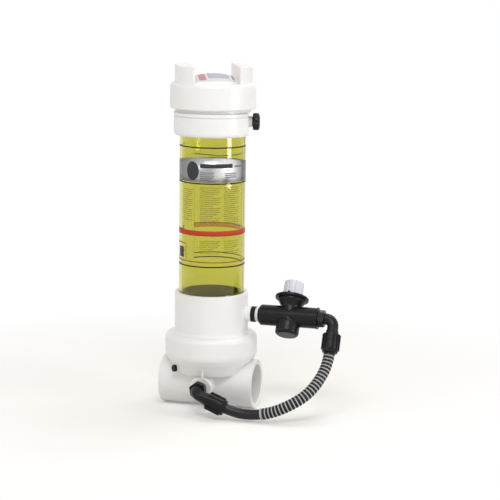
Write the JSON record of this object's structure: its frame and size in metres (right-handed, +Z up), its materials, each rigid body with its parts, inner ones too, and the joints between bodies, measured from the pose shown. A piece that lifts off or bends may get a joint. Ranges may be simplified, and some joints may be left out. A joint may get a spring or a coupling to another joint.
{
  "type": "inline pool chlorinator",
  "caption": "Inline pool chlorinator: clear tinted tablet chamber with a screw cap on a pipe tee base, with a side control valve, an air bleed and a looped feed hose.",
  "frame": {"origin": "middle of the pipe run, on its axis, straight below the chamber's axis", "axes": "+X along the pipe run towards the side with the control valve, +Z up the chamber, -Y towards the hose take-off"},
  "size_m": [0.2839, 0.1727, 0.5298],
  "materials": {
    "white_moulding": "satin moulded",
    "tinted_tube": "clear tinted",
    "grey_grid": "moulded",
    "seal_rubber": "matte",
    "black_moulding": "satin moulded",
    "inner_plastic": "moulded",
    "spring_wire": "drawn",
    "pale_knob": "milky",
    "hose_black": "smooth",
    "guard_black": "ribbed"
  },
  "bodies": {
    "root": {"tee_fitting": "white_moulding", "base_housing": "white_moulding", "tablet_grid": "grey_grid", "chamber_tube": "tinted_tube", "neck_collar": "white_moulding", "check_cage": "inner_plastic", "check_spring": "spring_wire", "valve_nipple": "white_moulding", "nipple_ring": "black_moulding", "valve_body": "black_moulding", "valve_bottom_cap": "black_moulding", "stem_o_ring": "seal_rubber", "dial_plate": "black_moulding", "upper_elbow": "black_moulding", "upper_nut": "black_moulding", "upper_ferrule": "inner_plastic", "lower_elbow": "black_moulding", "lower_nut": "black_moulding", "lower_ferrule": "inner_plastic", "hose_tube": "hose_black", "hose_guard": "guard_black"},
    "cap_seal": {"cap_o_ring": "seal_rubber"},
    "cap": {"lid_cap": "white_moulding"},
    "bleed_seal": {"bleed_washer": "seal_rubber"},
    "bleed": {"bleed_knob": "black_moulding"},
    "drain_seal": {"drain_washer": "seal_rubber"},
    "drain": {"drain_plug": "black_moulding"},
    "dial": {"valve_plug": "inner_plastic", "dial_knob": "pale_knob", "knob_screw": "spring_wire"},
    "ball": {"check_ball": "seal_rubber"}
  },
  "joints": [
    {"name": "cap_lift", "type": "slide", "parent": "root", "child": "cap_seal", "axis": [0, 0, 1], "range_m": [0, 0.016]},
    {"name": "cap_turn", "type": "hinge", "parent": "cap_seal", "child": "cap", "pos_m": [0, 0, 0.44], "axis": [0, 0, 1], "range_deg": [0, 900]},
    {"name": "bleed_lift", "type": "slide", "parent": "root", "child": "bleed_seal", "axis": [0.9659, 0.2588, 0], "range_m": [0, 0.00254]},
    {"name": "bleed_turn", "type": "hinge", "parent": "bleed_seal", "child": "bleed", "pos_m": [0.05796, 0.01553, 0.406], "axis": [0.9659, 0.2588, 0], "range_deg": [0, 720]},
    {"name": "drain_lift", "type": "slide", "parent": "root", "child": "drain_seal", "axis": [-0.682, -0.7314, 0], "range_m": [0, 0.0042]},
    {"name": "drain_turn", "type": "hinge", "parent": "drain_seal", "child": "drain", "pos_m": [-0.04297, -0.04607, 0.0265], "axis": [-0.682, -0.7314, 0], "range_deg": [0, 1080]},
    {"name": "dial_turn", "type": "hinge", "parent": "root", "child": "dial", "pos_m": [0.125, 0, 0.11], "axis": [0, 0.5299, 0.848], "range_deg": [-90, 0]},
    {"name": "check_ball_lift", "type": "slide", "parent": "root", "child": "ball", "axis": [0, 0, -1], "range_m": [0, 0.004], "stiffness_N_per_m": 40, "springref_m": -0.004, "deforming": ["check_spring"]}
  ],
  "couplings": [
    {"joint": "cap_lift", "follows": "cap_turn", "m_per_rad": 0.0010106},
    {"joint": "bleed_turn", "follows": "bleed_lift", "rad_per_m": 4947.3},
    {"joint": "drain_turn", "follows": "drain_lift", "rad_per_m": 4487.9}
  ]
}
